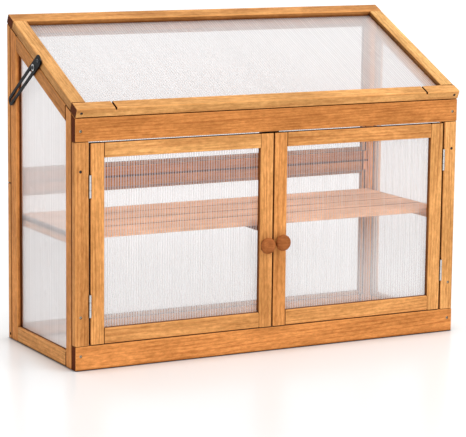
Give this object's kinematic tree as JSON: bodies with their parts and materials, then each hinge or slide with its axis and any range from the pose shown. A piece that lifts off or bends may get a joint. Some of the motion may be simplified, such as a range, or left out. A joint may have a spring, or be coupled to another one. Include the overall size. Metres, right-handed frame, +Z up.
{
  "type": "mini greenhouse",
  "caption": "Low timber greenhouse cabinet with a sloping hinged lid on a slotted stay, hinged front doors with round knobs, fluted clear sheets and a slatted shelf.",
  "frame": {"origin": "centre of the whole part's footprint, at floor level", "axes": "+X to the right seen from the front, +Y from the doors to the back, +Z up"},
  "size_m": [0.9088, 0.3806, 0.6919],
  "materials": {
    "timber": "honey stained softwood, satin",
    "knob_wood": "red brown stained hardwood, satin",
    "shelf_timber": "pale stained softwood, matt",
    "glazing": "clear twin-wall polycarbonate, fluted",
    "zinc": "bright zinc plated steel",
    "black_steel": "black coated steel, satin",
    "catch_plastic": "brown moulded plastic"
  },
  "bodies": {
    "cabinet": {"front_plinth": "timber", "front_fascia": "timber", "front_left_stile": "timber", "front_right_stile": "timber", "left_side_front_stile": "timber", "left_side_back_stile": "timber", "left_side_bottom_rail": "timber", "left_side_sloped_rail": "timber", "left_side_sheet": "glazing", "right_side_front_stile": "timber", "right_side_back_stile": "timber", "right_side_bottom_rail": "timber", "right_side_sloped_rail": "timber", "right_side_sheet": "glazing", "back_lower_left_stile": "timber", "back_lower_right_stile": "timber", "back_lower_bottom_rail": "timber", "back_lower_top_rail": "timber", "back_lower_sheet": "glazing", "back_upper_left_stile": "timber", "back_upper_right_stile": "timber", "back_upper_bottom_rail": "timber", "back_upper_top_rail": "timber", "back_upper_sheet": "glazing", "shelf": "shelf_timber", "left_shelf_cleat": "shelf_timber", "right_shelf_cleat": "shelf_timber", "door_catch": "catch_plastic", "left_door_lower_hinge_pin_leaf": "zinc", "left_door_upper_hinge_pin_leaf": "zinc", "right_door_lower_hinge_pin_leaf": "zinc", "right_door_upper_hinge_pin_leaf": "zinc", "lid_left_hinge_pin_leaf": "zinc", "lid_right_hinge_pin_leaf": "zinc"},
    "lid": {"lid_left_stile": "timber", "lid_right_stile": "timber", "lid_front_rail": "timber", "lid_back_rail": "timber", "lid_sheet": "glazing", "lid_left_hinge_leaf": "zinc", "lid_right_hinge_leaf": "zinc"},
    "left_door": {"left_door_hinge_stile": "timber", "left_door_lock_stile": "timber", "left_door_top_rail": "timber", "left_door_bottom_rail": "timber", "left_door_sheet": "glazing", "left_door_knob": "knob_wood", "left_door_lower_hinge_leaf": "zinc", "left_door_upper_hinge_leaf": "zinc"},
    "right_door": {"right_door_hinge_stile": "timber", "right_door_lock_stile": "timber", "right_door_top_rail": "timber", "right_door_bottom_rail": "timber", "right_door_sheet": "glazing", "right_door_knob": "knob_wood", "right_door_lower_hinge_leaf": "zinc", "right_door_upper_hinge_leaf": "zinc"},
    "stay_pivot": {"stay_slot_bush": "zinc"},
    "stay_arm": {"stay_arm": "black_steel", "stay_lid_screw": "zinc"}
  },
  "joints": [
    {"name": "lid_hinge", "type": "hinge", "parent": "cabinet", "child": "lid", "pos_m": [0.0044, 0.1879, 0.67498], "axis": [-1, 0, 0], "range_deg": [0, 49]},
    {"name": "left_door_hinge", "type": "hinge", "parent": "cabinet", "child": "left_door", "pos_m": [-0.4137, -0.1672, 0.256], "axis": [0, 0, -1], "range_deg": [0, 170]},
    {"name": "right_door_hinge", "type": "hinge", "parent": "cabinet", "child": "right_door", "pos_m": [0.4225, -0.1672, 0.256], "axis": [0, 0, 1], "range_deg": [0, 170]},
    {"name": "stay_swing", "type": "hinge", "parent": "cabinet", "child": "stay_pivot", "pos_m": [-0.4456, 0.03288, 0.59367], "axis": [-1, 0, 0], "range_deg": [0, 52.8]},
    {"name": "stay_slide", "type": "slide", "parent": "stay_pivot", "child": "stay_arm", "axis": [0, -0.8358, 0.549], "range_m": [0, 0.1452]}
  ],
  "couplings": [
    {"joint": "stay_swing", "follows": "lid_hinge", "ratio": 1.0767},
    {"joint": "stay_slide", "follows": "lid_hinge", "m_per_rad": 0.16967}
  ]
}
